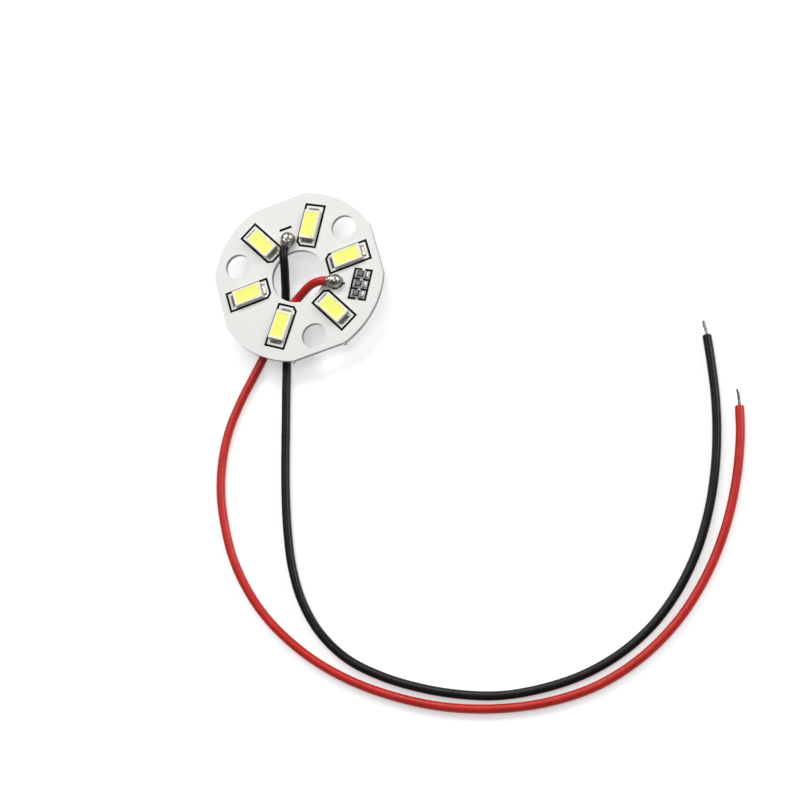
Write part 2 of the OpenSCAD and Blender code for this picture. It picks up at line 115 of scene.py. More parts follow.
# Resistors: their row, each one's size, and the terminal and pad at each end
CHIP_COUNT = 3
CHIPS = range(1, CHIP_COUNT + 1)
CHIP_R = 12.05
CHIP_TURN = 1.6
CHIP_ANGLE = PLUS_ANGLE + CHIP_TURN
CHIP_PITCH = 1.85
CHIP_SHIFT = 0.2
CHIP_L = 2.0
CHIP_W = 1.25
CHIP_H = 0.5
CAP_L = 0.4
CAP_T = 0.05
CHIP_PAD_IN = CHIP_L / 2 - CAP_L
CHIP_TOE = 0.3
CHIP_TOE_H = 0.35

# Overcoat: its dome in shares of its thickness, and its margin, rougher and painted darker with its
# reflection tinted away (painted shade), in shares of the way to the edge
COAT_T = 0.08
COAT_INSET = 0.03
COAT_EDGE_SHARE = 0.1
COAT_DOME_SHARE = 1.2
COAT_SQUARENESS = 4
COAT_SHADE_START = 0.55
COAT_SHADE_FADE = 0.22
COAT_STEPS = 20

# Solder fillets: the ranges that each one draws from, and the seeds
CLIMB_SHARES = (0.75, 1.0)
SWELLS = (0.04, 0.14)
LEANS = (-0.12, 0.12)
LED_FILLET_SEED = 5
CHIP_FILLET_SEED = 9

# Solder fillets: the shape that they share, with the powers that its curves are raised to
FILLET_GAP = 0.006
HOLLOW_POWER = 2.1
SPACING_POWER = 1.2
SIDE_FALL = 0.7
SIDE_POWERS = (5, 0.6)
EDGE_FALL = 0.7
TOE_EDGE_POWER = 4
SIDE_EDGE_POWER = 8
STEPS_OUT = 12
STEPS_ACROSS = 14

# Hand-soldered joints: the sizes that the frame has too
DOME_R = 1.3
DOME_Z = 1.5
NECK_D = 1.44
NECK_ROOT_D = 1.7
NECK_L = 1.55

# Hand-soldered joints: what the soft form adds, and its lumps, each a size and a depth
BULGE_REACH = 0.42
BULGE_SHARE = 0.88
FOOT_SPREAD = 0.06
FOOT_TOP_INSET = 0.02
NECK_SPREAD = 0.1
BALL_SUBDIVISIONS = 4
FOOT_SIDES = 48
NECK_SIDES = 40
BLOB_VOXEL = 0.055
BLOB_SMOOTHING = 0.5
BLOB_SMOOTHING_ROUNDS = 26
BLOB_LUMPS = ((1.7, 0.09), (0.8, 0.004))

# Painted contact shadow round a joint's foot, as a thin dark bead: its section's points are in shares of
# the bead's width, outwards, and of its height
SHADOW_RING_R = 1.2
SHADOW_RING_H = 0.05
SHADOW_RING_W = {"black": 0.12, "red": 0.22}
SHADOW_RING_WIDE_SIDE = -60
SHADOW_RING_THIN_SHARE = 0.35
SHADOW_RING_RIPPLE_SHARE = 0.5
SHADOW_RING_RIPPLE_RATE = 2.5
SHADOW_RING_STEPS = 120
SHADOW_RING_SECTION = ((0, -0.4), (0, 0.2), (0.3, 0.85), (0.65, 1), (0.9, 0.6), (1, -0.1), (1, -0.4))

# Leads, and the sleeve's swelling at the hot end
LEAD_D = 1.6
LYING_Z = -2.5
COLLAR_H = 0.05
COLLAR_L = 0.5
ROUTE_STEPS = 14

# Cut ends of a sleeve: each edge point has a depth along the lead and an inset from its surface
BORE_GAP = 0.04
BORE_DEPTH = 0.45
BORE_FLARE = 1.1
CUT_EDGE = ((0, 0.11), (0.025, 0.04), (0.09, 0))

# Unevenness of a sleeve: each wave has a rate per millimetre, a share of the radius and a row of noise
SLEEVE_START = 0.25
SLEEVE_STEP = 0.3
SLEEVE_SIDES = 20
SLEEVE_SHRINK = 0.008
SLEEVE_WAVES = ((0.35, 0.012, 0), (2.0, 0.004, 5))

# Bare strands: six lie round a seventh, and one of the six stands off and is shorter
STRAND_COUNT = 7
STRANDS_L = 3.0
STRAND_BUNDLE_D = 0.5
STRAND_R = STRAND_BUNDLE_D / 6
STRAND_SPREAD = STRAND_BUNDLE_D / 3
STRAND_LAY = 4.6
STRAND_LEAN = 0.5
STRAND_FANS = (-0.2, 0.1)
STRAND_LOSSES = (0.0, 0.3)
STRAY_FAN = 1.6
STRAY_LOSS = 0.7
STRAND_ROOT_SHARE = 0.9
STRAND_TIP_SHARE = 0.7
STRAND_STEPS = 34
STRAND_RINGS = 24
STRAND_SIDES = 8

# Softly broken edges of the CAD pieces
PLATE_EDGE = 0.05
HOUSING_EDGE = 0.035
TERMINAL_EDGE = 0.03
CHIP_EDGE = 0.02
EDGE_ANGLE = 40
EDGE_SEGMENTS = 2

# Steps of a rounded ring, in each corner and along each side
MINUS_STEPS = (4, 8)
WINDOW_STEPS = (5, 10)

BLACK_ROUTE = [
    (-0.8, 6, 1.9), (-1.2, 5.3, 1.9), (-1.5, 4.2, 1.8), (-1.8, 3.1, 1.4), (-2.2, 1.9, 0.8),
    (-2.7, 0.7, 0.1), (-3.2, -0.5, -0.7), (-3.8, -1.8, -1.5), (-4.3, -3.1, -2.2),
    (-4.8, -4.8, LYING_Z), (-5.6, -8.5, LYING_Z), (-6.9, -13.5, LYING_Z),
    (-8.4, -19, LYING_Z), (-10, -25, LYING_Z), (-11.6, -31, LYING_Z), (-13.2, -37.5, LYING_Z),
    (-14.5, -44, LYING_Z), (-15.3, -50.5, LYING_Z), (-15.1, -57, LYING_Z),
    (-13.4, -63.5, LYING_Z), (-9.9, -69.5, LYING_Z), (-4.8, -74.4, LYING_Z),
    (1.2, -78.5, LYING_Z), (7.6, -81.8, LYING_Z), (14.3, -84.2, LYING_Z),
    (21.4, -85.3, LYING_Z), (28.6, -85.3, LYING_Z), (35.6, -83.9, LYING_Z),
    (42.1, -81.1, LYING_Z), (47.9, -76.9, LYING_Z), (52.8, -71.7, LYING_Z),
    (56.7, -65.9, LYING_Z), (59.8, -59.7, LYING_Z), (62.2, -53.3, LYING_Z),
    (64, -46.7, LYING_Z), (65.2, -40.2, LYING_Z), (65.9, -35.6, LYING_Z),
]
RED_ROUTE = [
    (5, -3.2, 1.9), (4.2, -2.9, 1.9), (3.2, -2.7, 1.7), (2.1, -2.6, 1.25), (0.9, -2.7, 0.6),
    (-0.3, -3, -0.1), (-1.5, -3.4, -0.65), (-2.7, -4, -0.86), (-3.9, -4.8, -0.86),
    (-5.2, -5.9, -0.86), (-7, -7.5, -1.3), (-9, -9.4, -2), (-11, -11.4, -2.4),
    (-13.5, -14, LYING_Z), (-17, -17.8, LYING_Z), (-20.4, -22.3, LYING_Z),
    (-23, -27.5, LYING_Z), (-24.7, -33.2, LYING_Z), (-25.4, -39, LYING_Z),
    (-25.4, -45, LYING_Z), (-24.4, -51, LYING_Z), (-22.4, -57, LYING_Z),
    (-19.3, -62.8, LYING_Z), (-15.1, -68.5, LYING_Z), (-9.8, -73.8, LYING_Z),
    (-3.4, -78.6, LYING_Z), (4, -82.8, LYING_Z), (12.5, -86, LYING_Z), (21.5, -87.8, LYING_Z),
    (30.5, -87.8, LYING_Z), (39, -85.6, LYING_Z), (46.6, -81.6, LYING_Z), (53.2, -76, LYING_Z),
    (58.6, -69.4, LYING_Z), (62.8, -62.2, LYING_Z), (65.9, -54.8, LYING_Z),
    (67.4, -49.6, LYING_Z),
]

# Each lead's colour, route, pad's angle and seed
LEADS = (
    ("black", BLACK_ROUTE, MINUS_ANGLE, 3),
    ("red", RED_ROUTE, PLUS_ANGLE, 8),
)

# In metres: how close points are that get welded, and the floor's half width
WELD_REACH = 1e-7
FLOOR_HALF = 3.0

# Floor: its gap under the leads in millimetres, and its glow
FLOOR_GAP = 0.04
FLOOR_GLOW = 0.42

# Lamps: each one's name, place and panel size in metres, and power in watts
LAMPS = (
    ("back_softbox", (-0.16, 0.81, 0.84), (1.0, 0.42), 8.4),
    ("right_softbox", (0.87, 0.2, 0.47), (0.7, 0.5), 5.6),
    ("top_softbox", (0.05, 0.02, 1.2), (0.5, 0.5), 2.6),
)
LAMP_TARGET = Vector((0.02, -0.03, 0))
WORLD_COLOUR = (0.95, 0.97, 1.0, 1)
WORLD_STRENGTH = 0.22

# The places of a Mix node's two inputs and its output, for each kind of data
MIX_PLACES = {"FLOAT": (2, 3, 0), "RGBA": (6, 7, 2)}


# Materials

class Shader:
    """One material's node tree, with short calls for the nodes that the materials below share."""

    def __init__(self, name, **values):
        self.material = bpy.data.materials.new(name)
        self.material.use_nodes = True
        self.tree = self.material.node_tree
        self.bsdf = self.tree.nodes["Principled BSDF"]
        for socket, value in values.items():
            self.bsdf.inputs[socket.replace("_", " ")].default_value = value
        self.place = self.add("ShaderNodeTexCoord").outputs["Object"]

    def add(self, kind, **settings):
        node = self.tree.nodes.new(kind)
        for name, value in settings.items():
            setattr(node, name, value)
        return node

    def put(self, value, socket):
        """Wires another node's output to a socket, or sets a plain number or colour on it."""
        if isinstance(value, bpy.types.NodeSocket):
            self.tree.links.new(value, socket)
        elif isinstance(value, tuple):
            socket.default_value = (*value, 1)
        else:
            socket.default_value = value

    def stretched(self, scale, place=None):
        """Coordinates scaled along each axis, to draw a texture out along one of them."""
        node = self.add("ShaderNodeMapping")
        node.inputs["Scale"].default_value = scale
        self.put(place or self.place, node.inputs["Vector"])
        return node.outputs["Vector"]

    def noise(self, size, detail=3, place=None, distortion=0):
        """Noise whose features are about size millimetres across."""
        node = self.add("ShaderNodeTexNoise")
        self.put(1 / (size * MM), node.inputs["Scale"])
        self.put(detail, node.inputs["Detail"])
        self.put(distortion, node.inputs["Distortion"])
        self.put(place or self.place, node.inputs["Vector"])
        return node.outputs["Fac"]

    def cells(self, size):
        """Distance to the nearest of scattered points, about size millimetres apart."""
        node = self.add("ShaderNodeTexVoronoi")
        self.put(1 / (size * MM), node.inputs["Scale"])
        self.put(self.place, node.inputs["Vector"])
        return node.outputs["Distance"]

    def attribute(self, name):
        """A number that the mesh keeps for each of its points."""
        return self.add("ShaderNodeAttribute", attribute_name=name).outputs["Fac"]

    def spread(self, value, low, high, start=0.3, end=0.7):
        """Maps a value from start..end to low..high."""
        node = self.add("ShaderNodeMapRange")
        for name, number in (("From Min", start), ("From Max", end), ("To Min", low), ("To Max", high)):
            self.put(number, node.inputs[name])
        self.put(value, node.inputs["Value"])
        return node.outputs["Result"]

    def tones(self, value, first, last, start=0.3, end=0.7):
        """A colour that goes from first to last as a value goes from start to end."""
        node = self.add("ShaderNodeValToRGB")
        for i, (position, colour) in enumerate(((start, first), (end, last))):
            element = node.color_ramp.elements[i]
            element.position = position
            element.color = (*colour, 1)
        self.put(value, node.inputs["Fac"])
        return node.outputs["Color"]

    def mixed(self, kind, factor, first, second):
        """A mix of two values. It is the first at factor zero and the second at factor one."""
        first_place, second_place, output_place = MIX_PLACES[kind]
        node = self.add("ShaderNodeMix", data_type=kind)
        self.put(factor, node.inputs["Factor"])
        self.put(first, node.inputs[first_place])
        self.put(second, node.inputs[second_place])
        return node.outputs[output_place]

    def blend(self, factor, first, second):
        """A mix of two colours."""
        return self.mixed("RGBA", factor, first, second)

    def mix(self, factor, first, second):
        """A mix of two numbers."""
        return self.mixed("FLOAT", factor, first, second)

    def compute(self, operation, *values):
        """What a Math node makes of its values."""
        node = self.add("ShaderNodeMath", operation=operation)
        for value, socket in zip(values, node.inputs):
            self.put(value, socket)
        return node.outputs["Value"]

    def upward(self):
        """One on faces that look up or down, zero on upright ones."""
        parts = self.add("ShaderNodeSeparateXYZ")
        self.put(self.add("ShaderNodeNewGeometry").outputs["True Normal"], parts.inputs["Vector"])
        return self.spread(self.compute("ABSOLUTE", parts.outputs["Z"]), 0, 1, 0.5, 0.8)

    def colour(self, value):
        self.put(value, self.bsdf.inputs["Base Color"])

    def roughness(self, value):
        self.put(value, self.bsdf.inputs["Roughness"])

    def bump(self, *layers):
        """Stacks bumps, each a height value and its depth in millimetres."""
        normal = None
        for height, depth in layers:
            node = self.add("ShaderNodeBump")
            self.put(depth * MM, node.inputs["Distance"])
            self.put(height, node.inputs["Height"])
            if normal:
                self.put(normal, node.inputs["Normal"])
            normal = node.outputs["Normal"]
        self.put(normal, self.bsdf.inputs["Normal"])


def grey(level, warmth=0.0):
    return (level * (1 + warmth), level, level * (1 - warmth))


def aluminium():
    shader = Shader("rolled_aluminium", Metallic=1.0)
    flat = shader.upward()
    rolled = shader.noise(0.12, 4, shader.stretched((0.04, 1, 1)))
    sheared = shader.noise(0.15, 4, shader.stretched((1, 1, 0.12)))
    face = shader.tones(rolled, grey(0.56), grey(0.68), 0.25, 0.75)
    # Upright sheared edges are painted dark brown-grey, a painted shade for the dark that they reflect;
    # their streaks are the shear's own.
    edge = shader.tones(sheared, grey(0.17, 0.04), grey(0.40, 0.03), 0.25, 0.75)
    shader.colour(shader.blend(flat, edge, face))
    dull = shader.spread(sheared, 0.38, 0.6)
    stained = shader.spread(shader.noise(4), 0.30, 0.44)
    shader.roughness(shader.mix(flat, dull, stained))
    shader.bump((rolled, 0.004), (sheared, 0.01))
    return shader.material


def insulating_resin():
    shader = Shader("insulating_resin")
    mottle = shader.noise(0.3)
    shader.colour(shader.tones(mottle, (0.50, 0.48, 0.40), (0.62, 0.60, 0.52)))
    shader.roughness(shader.spread(mottle, 0.5, 0.7))
    shader.bump((mottle, 0.01))
    return shader.material


def copper():
    shader = Shader("copper_foil", Metallic=1.0)
    tarnish = shader.noise(0.8, 4)
    shader.colour(shader.tones(tarnish, (0.62, 0.28, 0.16), (0.85, 0.47, 0.32)))
    shader.roughness(shader.spread(tarnish, 0.3, 0.5))
    shader.bump((shader.noise(0.1), 0.004))
    return shader.material


def white_mask():
    shader = Shader("white_solder_mask", IOR=1.5)
    mottle = shader.noise(0.25, 4)
    tone = shader.tones(shader.noise(5, 4), (0.775, 0.783, 0.75), (0.82, 0.823, 0.788))
    grain = shader.tones(mottle, (0.77, 0.77, 0.735), (0.83, 0.833, 0.798))
    dust = shader.spread(shader.cells(0.9), 0.25, 0.0, 0.03, 0.06)
    shader.colour(shader.blend(dust, shader.blend(0.5, tone, grain), (0.45, 0.43, 0.40)))
    shader.roughness(shader.spread(mottle, 0.30, 0.42))
    shader.bump((shader.noise(0.45, 2), 0.006), (shader.noise(0.08), 0.002))
    return shader.material


def black_ink():
    shader = Shader("black_ink", Specular_IOR_Level=0.06)
    mottle = shader.noise(0.12, 4)
    shade = shader.tones(mottle, grey(0.004), grey(0.010))
    pinholes = shader.spread(shader.cells(0.22), 0.5, 0.0, 0.04, 0.09)
    shader.colour(shader.blend(pinholes, shade, (0.16, 0.16, 0.155)))
    shader.roughness(shader.spread(mottle, 0.6, 0.8))
    shader.bump((mottle, 0.004))
    return shader.material


def white_housing():
    shader = Shader("white_housing", IOR=1.52)
    cloud = shader.noise(1.1)
    grain = shader.noise(0.05)
    rim = shader.tones(cloud, (0.86, 0.85, 0.81), (0.91, 0.90, 0.87))
    # Upright walls are painted warmer and darker than the top: painted shade.
    shaded_wall = shader.tones(cloud, (0.85, 0.78, 0.63), (0.91, 0.85, 0.71))
    shader.colour(shader.blend(shader.upward(), shaded_wall, rim))
    shader.roughness(shader.spread(grain, 0.38, 0.52))
    shader.bump((grain, 0.003), (shader.noise(0.5, 2), 0.004))
    return shader.material


def sheet_metal(name, dark, light, low, high):
    shader = Shader(name, Metallic=1.0)
    drawn = shader.noise(0.05, 4, shader.stretched((1, 1, 0.2)))
    haze = shader.noise(0.5)
    shader.colour(shader.tones(haze, dark, light))
    shader.roughness(shader.spread(drawn, low, high))
    shader.bump((drawn, 0.001), (haze, 0.003))
    return shader.material


def phosphor():
    shader = Shader("phosphor_resin", IOR=1.42)
    powder = shader.noise(0.035)
    cloud = shader.noise(0.9)
    yellow = shader.tones(cloud, (0.93, 0.95, 0.175), (0.98, 0.99, 0.23))
    grain = shader.tones(powder, (0.90, 0.91, 0.15), (0.99, 1.0, 0.26))
    body = shader.blend(0.5, yellow, grain)
    shader.colour(shader.blend(shader.attribute("inside"), (0.93, 0.92, 0.66), body))
    shader.roughness(shader.spread(powder, 0.28, 0.42))
    shader.bump((powder, 0.003), (cloud, 0.008))
    return shader.material


def semiconductor():
    shader = Shader("semiconductor")
    tint = shader.noise(0.2)
    shader.colour(shader.tones(tint, (0.16, 0.20, 0.28), (0.26, 0.32, 0.42)))
    shader.roughness(shader.spread(tint, 0.12, 0.25))
    shader.bump((tint, 0.002))
    return shader.material


def gold_wire():
    shader = Shader("gold_wire", Metallic=1.0)
    drawn = shader.noise(0.03)
    shader.colour(shader.tones(drawn, (0.80, 0.55, 0.20), (0.95, 0.70, 0.30)))
    shader.roughness(shader.spread(drawn, 0.2, 0.35))
    shader.bump((drawn, 0.001))
    return shader.material


def ceramic():
    shader = Shader("alumina_ceramic")
    grain = shader.noise(0.06, 4)
    shader.colour(shader.tones(grain, (0.72, 0.72, 0.69), (0.84, 0.84, 0.81)))
    shader.roughness(shader.spread(grain, 0.45, 0.65))
    shader.bump((grain, 0.006))
    return shader.material


def overcoat():
    shader = Shader("black_overcoat", IOR=2.2)
    margin = shader.attribute("margin")
    flow = shader.noise(0.6, 2)
    grain = shader.noise(0.05)
    # The margin is painted shade: darker, with its reflection tinted nearly away.
    face = shader.tones(flow, grey(0.014), grey(0.026))
    edge = shader.tones(flow, grey(0.002), grey(0.004))
    shader.colour(shader.blend(margin, face, edge))
    shader.put(shader.tones(margin, grey(1), grey(0.04), 0, 1), shader.bsdf.inputs["Specular Tint"])
    smooth = shader.spread(grain, 0.28, 0.38)
    dull = shader.spread(grain, 0.50, 0.65)
    shader.roughness(shader.mix(margin, smooth, dull))
    shader.bump((flow, 0.006), (grain, 0.001))
    return shader.material


def solder(name, dark, light, low, high):
    shader = Shader(name, Metallic=1.0)
    flow = shader.noise(0.9, distortion=1.2)
    frost = shader.noise(0.12, 4)
    shader.colour(shader.tones(flow, dark, light))
    shader.roughness(shader.spread(frost, low, high))
    shader.bump((flow, 0.003), (shader.cells(0.35), 0.001), (frost, 0.001))
    return shader.material


# A painted contact shadow: the dark colour of the bead round a joint's foot.
def foot_shadow():
    shader = Shader("painted_foot_shadow", IOR=1.5)
    flow = shader.noise(0.5)
    grain = shader.noise(0.06)
    shader.colour(shader.tones(flow, (0.022, 0.014, 0.008), (0.085, 0.055, 0.030)))
    shader.roughness(shader.spread(grain, 0.22, 0.40))
    shader.bump((flow, 0.008), (grain, 0.001))
    return shader.material


def insulation(name, dark, light, low, high, gloss):
    shader = Shader(name, IOR=1.5, Specular_IOR_Level=gloss)
    along = shader.add("ShaderNodeTexCoord").outputs["UV"]
    drawn = shader.noise(140, 4, shader.stretched((0.05, 1, 1), along))
    scuff = shader.noise(0.6, 4, distortion=0.8)
    shader.colour(shader.tones(shader.noise(3.5), dark, light))
    sheen = shader.spread(drawn, low, high)
    shader.roughness(shader.mix(0.5, sheen, shader.spread(scuff, low, high + 0.06)))
    shader.bump((drawn, 0.007), (shader.noise(0.09), 0.003), (scuff, 0.010))
    return shader.material


def tinned_wire():
    shader = Shader("tinned_wire", Metallic=1.0)
    drawn = shader.noise(0.06)
    shader.colour(shader.tones(shader.noise(0.6), (0.15, 0.13, 0.11), (0.40, 0.37, 0.335)))
    shader.roughness(shader.spread(drawn, 0.30, 0.48))
    shader.bump((drawn, 0.003))
    return shader.material


def pale_floor():
    """Lit as a plain surface, with a glow that the camera and reflections see but that lights nothing."""
    shader = Shader("pale_floor", Roughness=0.9, Specular_IOR_Level=0.1)
    shader.colour(shader.tones(shader.noise(30), grey(0.79), grey(0.81)))
    rays = shader.add("ShaderNodeLightPath").outputs
    seen = shader.compute("MAXIMUM", rays["Is Camera Ray"], rays["Is Glossy Ray"])
    seen = shader.compute("MAXIMUM", seen, rays["Is Transmission Ray"])
    shader.put(grey(1), shader.bsdf.inputs["Emission Color"])
    shader.put(shader.compute("MULTIPLY", seen, FLOOR_GLOW), shader.bsdf.inputs["Emission Strength"])
    return shader.material


# Pieces and places

def link(name, data):
    """Puts a new object into the scene."""
    piece = bpy.data.objects.new(name, data)
    bpy.context.scene.collection.objects.link(piece)
    return piece


def add_piece(name, mesh, material, slot, *replaced):
    """Makes a mesh a piece of the object, in place of the CAD nodes that it stands for."""
    mesh.name = name
    mesh.materials.clear()
    mesh.materials.append(material)
    mesh.shade_smooth()
    piece = link(name, mesh)
    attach(piece, "root")
    if replaced:
        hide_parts(*replaced)
    return piece


def dress(names, material, edge=0.0):
    """Gives CAD nodes their material and, where edge is above zero, softly broken edges."""
    for name in names:
        node = nodes[name]
        node.data.materials.clear()
        node.data.materials.append(material)
        if edge:
            weld = node.modifiers.new("weld", "WELD")
            weld.merge_threshold = WELD_REACH
            bevel = node.modifiers.new("edges", "BEVEL")
            bevel.width = edge * MM
            bevel.segments = EDGE_SEGMENTS
            bevel.limit_method = "ANGLE"
            bevel.angle_limit = math.radians(EDGE_ANGLE)
            bevel.harden_normals = True


def turned(angle, place=(0, 0, 0)):
    """Moves by a place, and then turns round the board's middle."""
    return Matrix.Rotation(math.radians(angle), 4, "Z") @ Matrix.Translation(place)


def pad_place(angle):
    """The middle of a wire pad, seen from above."""
    return turned(angle) @ Vector((WIRE_PAD_R, 0, 0))


def led_place(k):
    """The middle of an LED's foot plane."""
    return turned(360 / LED_COUNT * (k - 1) + LED_TURNS[k - 1], (LED_R, 0, SEAT_Z))


def chip_place(k):
    """The middle between a resistor's pads, on its foot plane."""
    return turned(CHIP_ANGLE, (CHIP_R, (k - (CHIP_COUNT + 1) / 2) * CHIP_PITCH, SEAT_Z))


# Meshes

def mesh_from(points, faces):
    mesh = bpy.data.meshes.new("mesh")
    mesh.from_pydata(points, [], faces)
    mesh.validate()
    mesh.update()
    return mesh


def number_points(mesh, name, values):
    """Keeps a number for each point of a mesh, which its material reads."""
    layer = mesh.attributes.new(name, "FLOAT", "POINT")
    layer.data.foreach_set("value", values)


def spaced(count):
    """Numbers from -1 to 1 in even steps."""
    return [-1 + 2 * i / count for i in range(count + 1)]


def ring_faces(ring_count, size):
    """Faces of a closed shape over rings of size points each. The first and the last ring are caps."""
    faces = []
    for i in range(ring_count - 1):
        here, there = i * size, (i + 1) * size
        for j in range(size):
            k = (j + 1) % size
            faces.append((here + j, here + k, there + k, there + j))
    last = (ring_count - 1) * size
    faces.append(tuple(range(size - 1, -1, -1)))
    faces.append(tuple(range(last, last + size)))
    return faces


def rounded_ring(half_l, half_w, corner, z, corner_steps, side_steps):
    """A closed ring of points: a rectangle with round corners, and points along its sides."""
    arcs = []
    for x, y, start in ((1, 1, 0), (-1, 1, 90), (-1, -1, 180), (1, -1, 270)):
        middle = Vector(((half_l - corner) * x, (half_w - corner) * y, z))
        angles = [math.radians(start + 90 * k / corner_steps) for k in range(corner_steps + 1)]
        arcs.append([middle + corner * Vector((math.cos(a), math.sin(a), 0)) for a in angles])
    ring = []
    for arc, following in zip(arcs, arcs[1:] + arcs[:1]):
        ring += arc
        ring += [arc[-1].lerp(following[0], k / side_steps) for k in range(1, side_steps)]
    return ring


def grid_skin(tops, low):
    """A closed shape over rows of points: the rows are its upper side, and it stands on level low."""
    rows, columns = len(tops), len(tops[0])
    count = rows * columns
    upper = [point for row in tops for point in row]
    points = upper + [Vector((point.x, point.y, low)) for point in upper]
    faces = []
    for i in range(rows - 1):
        for j in range(columns - 1):
            corner = i * columns + j
            quad = (corner, corner + columns, corner + columns + 1, corner + 1)
            faces += [quad, tuple(count + v for v in reversed(quad))]
    rim = [i * columns for i in range(rows)]
    rim += [(rows - 1) * columns + j for j in range(1, columns)]
    rim += [i * columns + columns - 1 for i in range(rows - 2, -1, -1)]
    rim += list(range(columns - 2, 0, -1))
    for here, there in zip(rim, rim[1:] + rim[:1]):
        faces.append((there, here, count + here, count + there))
    return points, faces


# Meshes of the leads

def smooth_route(route):
    """Points in metres on a smooth curve through a route in millimetres."""
    knots = [Vector(place) * MM for place in route]
    knots = [2 * knots[0] - knots[1], *knots, 2 * knots[-1] - knots[-2]]
    points = []
    for a, b, c, d in zip(knots, knots[1:], knots[2:], knots[3:]):
        t1 = math.sqrt((b - a).length)
        t2 = t1 + math.sqrt((c - b).length)
        t3 = t2 + math.sqrt((d - c).length)
        for i in range(ROUTE_STEPS):
            t = t1 + (t2 - t1) * i / ROUTE_STEPS
            ab = a.lerp(b, t / t1)
            bc = b.lerp(c, (t - t1) / (t2 - t1))
            cd = c.lerp(d, (t - t2) / (t3 - t2))
            abc = ab.lerp(bc, t / t2)
            bcd = bc.lerp(cd, (t - t1) / (t3 - t1))
            points.append(abc.lerp(bcd, (t - t1) / (t2 - t1)))
    points.append(knots[-2].copy())
    return points


class Path:
    """A polyline that can be asked for the place and the directions at a distance along it."""

    def __init__(self, points):
        self.points = points
        self.distances = [0.0]
        for a, b in zip(points, points[1:]):
            self.distances.append(self.distances[-1] + (b - a).length)
        self.length = self.distances[-1]
        tangents = []
        for i in range(len(points)):
            before = points[max(i - 1, 0)]
            after = points[min(i + 1, len(points) - 1)]
            tangents.append((after - before).normalized())
        side = tangents[0].orthogonal().normalized()
        self.directions = []
        for tangent in tangents:
            side = (side - side.dot(tangent) * tangent).normalized()
            self.directions.append((tangent, side, tangent.cross(side)))

    def at(self, distance):
        """The place there, and the directions ahead, to the side and up."""
        distance = min(max(distance, 0.0), self.length)
        low = min(bisect_right(self.distances, distance) - 1, len(self.points) - 2)
        start, end = self.distances[low], self.distances[low + 1]
        share = (distance - start) / (end - start)
        place = self.points[low].lerp(self.points[low + 1], share)
        return place, self.directions[low if share < 0.5 else low + 1]


def tube(path, rings, sides):
    """A closed tube round a path. Each ring is a distance along it and a radius, in metres."""
    points = []
    for distance, radius in rings:
        place, (_, side, up) = path.at(distance)
        for j in range(sides):
            turn = 2 * math.pi * j / sides
            points.append(place + radius * (math.cos(turn) * side + math.sin(turn) * up))
    mesh = mesh_from(points, ring_faces(len(rings), sides))
    uv = mesh.uv_layers.new(name="along")
    for loop in mesh.loops:
        ring, j = divmod(loop.vertex_index, sides)
        uv.data[loop.index].uv = (rings[ring][0], j / sides)
    return mesh


def cut_end(path, from_start):
    """Rings for a sleeve's cut end: a short bore, a flat face and a slightly rounded edge."""
    bore = STRAND_BUNDLE_D / 2 + BORE_GAP
    profile = [(BORE_DEPTH, bore), (0, bore * BORE_FLARE)]
    profile += [(depth, LEAD_D / 2 - inset) for depth, inset in CUT_EDGE]
    rings = [(depth * MM, radius * MM) for depth, radius in profile]
    if from_start:
        return rings
    return [(path.length - depth, radius) for depth, radius in reversed(rings)]


def sleeve_mesh(path, seed):
    """A lead's insulation, with the small unevenness of a drawn and handled sleeve."""
    rings = cut_end(path, True)
    distance = SLEEVE_START * MM
    while distance < path.length - SLEEVE_START * MM:
        waves = sum(noise.noise(Vector((distance / MM * rate, seed, row))) * depth
                    for rate, depth, row in SLEEVE_WAVES)
        collar = COLLAR_H * math.exp(-(distance / (COLLAR_L * MM)) ** 2)
        rings.append((distance, (LEAD_D / 2 * (1 + waves - SLEEVE_SHRINK) + collar) * MM))
        distance += SLEEVE_STEP * MM
    return tube(path, rings + cut_end(path, False), SLEEVE_SIDES)


def strand_line(path, phase, spread, fan, length, lean):
    """The line of one strand. It starts in the sleeve's bore, twists, fans out and leans over."""
    end, (ahead, side, up) = path.at(path.length)
    line = []
    for k in range(STRAND_STEPS + 1):
        out = -BORE_DEPTH + (length + BORE_DEPTH) * k / STRAND_STEPS
        share = max(out, 0) / STRANDS_L
        turn = phase + out * 2 * math.pi / STRAND_LAY
        radius = spread * (1 + fan * share * share)
        offset = (side * math.cos(turn) + up * math.sin(turn)) * radius
        line.append(end + (ahead * out + offset + lean * share * share) * MM)
    return Path(line)


def strand_bundle(path, seed):
    """Twisted bare strands at a lead's free end, each a tube of its own."""
    pick = random.Random(seed)
    _, (_, side, up) = path.at(path.length)
    bend = pick.uniform(0, 2 * math.pi)
    lean = (side * math.cos(bend) + up * math.sin(bend)) * STRAND_LEAN
    radius = STRAND_R * MM
    shape = bmesh.new()
    for i in range(STRAND_COUNT):
        stray = i == 0
        spread = STRAND_SPREAD if i < STRAND_COUNT - 1 else 0
        fan = STRAY_FAN if stray else pick.uniform(*STRAND_FANS)
        length = STRANDS_L - (STRAY_LOSS if stray else pick.uniform(*STRAND_LOSSES))
        phase = 2 * math.pi * i / (STRAND_COUNT - 1)
        line = strand_line(path, phase, spread, fan, length, lean)
        rings = [(line.length * k / STRAND_RINGS, radius) for k in range(1, STRAND_RINGS)]
        rings = [(0, radius * STRAND_ROOT_SHARE), *rings, (line.length, radius * STRAND_TIP_SHARE)]
        wire = tube(line, rings, STRAND_SIDES)
        shape.from_mesh(wire)
        bpy.data.meshes.remove(wire)
    mesh = bpy.data.meshes.new("mesh")
    shape.to_mesh(mesh)
    shape.free()
    return mesh


# Meshes of the solder and the flux

